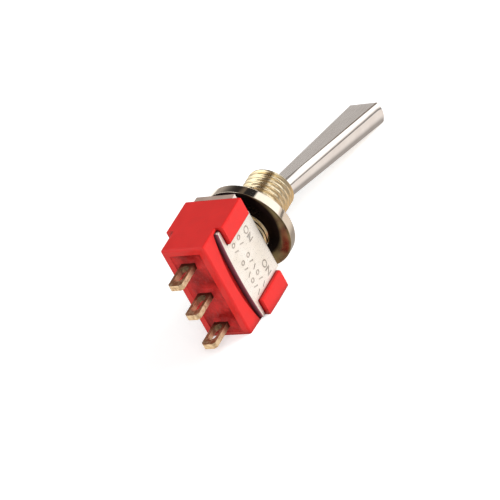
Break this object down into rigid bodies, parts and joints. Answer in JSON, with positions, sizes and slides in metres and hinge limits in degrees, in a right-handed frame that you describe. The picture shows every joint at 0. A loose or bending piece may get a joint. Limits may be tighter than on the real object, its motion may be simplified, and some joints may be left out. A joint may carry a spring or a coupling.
{
  "type": "toggle switch",
  "caption": "Miniature panel toggle switch: red case with solder terminals, saddle frame, threaded bushing with a round nut, and a long flat-sided lever thrown to one side.",
  "frame": {"origin": "on the bushing's axis, in the plane of the round nut's upper face, where a panel seats", "axes": "+Z along the bushing from the terminals towards the lever, +X along the terminal row on the side the lever is thrown to, Y across the case"},
  "size_m": [0.0162, 0.0122, 0.0489],
  "materials": {
    "red_plastic": "moulded, slightly glossy",
    "resin": "poured resin, uneven",
    "plated_steel": "warm silver plating",
    "plated_brass": "pale nickel-like plating over brass",
    "lever_plating": "polished round sides, brushed flats",
    "spring_steel": "drawn wire",
    "nylon": "natural",
    "contact_brass": "stamped strip",
    "contact_silver": "silver faced",
    "terminal_brass": "tarnished plating, light cut edges",
    "nut_plating": "polished rim and faces"
  },
  "bodies": {
    "housing": {"case": "red_plastic", "terminal_seal": "resin", "saddle_frame": "plated_steel", "bushing": "plated_brass", "terminal_common": "terminal_brass", "terminal_left": "terminal_brass", "terminal_right": "terminal_brass", "fixed_button_left": "contact_silver", "fixed_button_right": "contact_silver"},
    "lever": {"lever": "lever_plating", "guide_pin": "spring_steel", "plunger_spring": "spring_steel"},
    "plunger": {"plunger": "nylon"},
    "rocker": {"contact_strip": "contact_brass", "moving_button_left": "contact_silver", "moving_button_right": "contact_silver"},
    "nut": {"mounting_nut": "nut_plating"}
  },
  "joints": [
    {"name": "lever_throw", "type": "hinge", "parent": "housing", "child": "lever", "pos_m": [0, 0, 0.0023], "axis": [0, 1, 0], "range_deg": [-30, 0]},
    {"name": "rocker_throw", "type": "hinge", "parent": "housing", "child": "rocker", "pos_m": [0, 0, -0.0082], "axis": [0, 1, 0], "range_deg": [0, 14]},
    {"name": "plunger_slide", "type": "slide", "parent": "lever", "child": "plunger", "axis": [0.2588, 0, 0.9659], "range_m": [0, 0.0004], "deforming": ["plunger_spring"]},
    {"name": "nut_travel", "type": "slide", "parent": "housing", "child": "nut", "axis": [0, 0, 1], "range_m": [-0.0014, 0.0064]}
  ],
  "couplings": [
    {"joint": "rocker_throw", "follows": "lever_throw", "ratio": -0.46667}
  ]
}
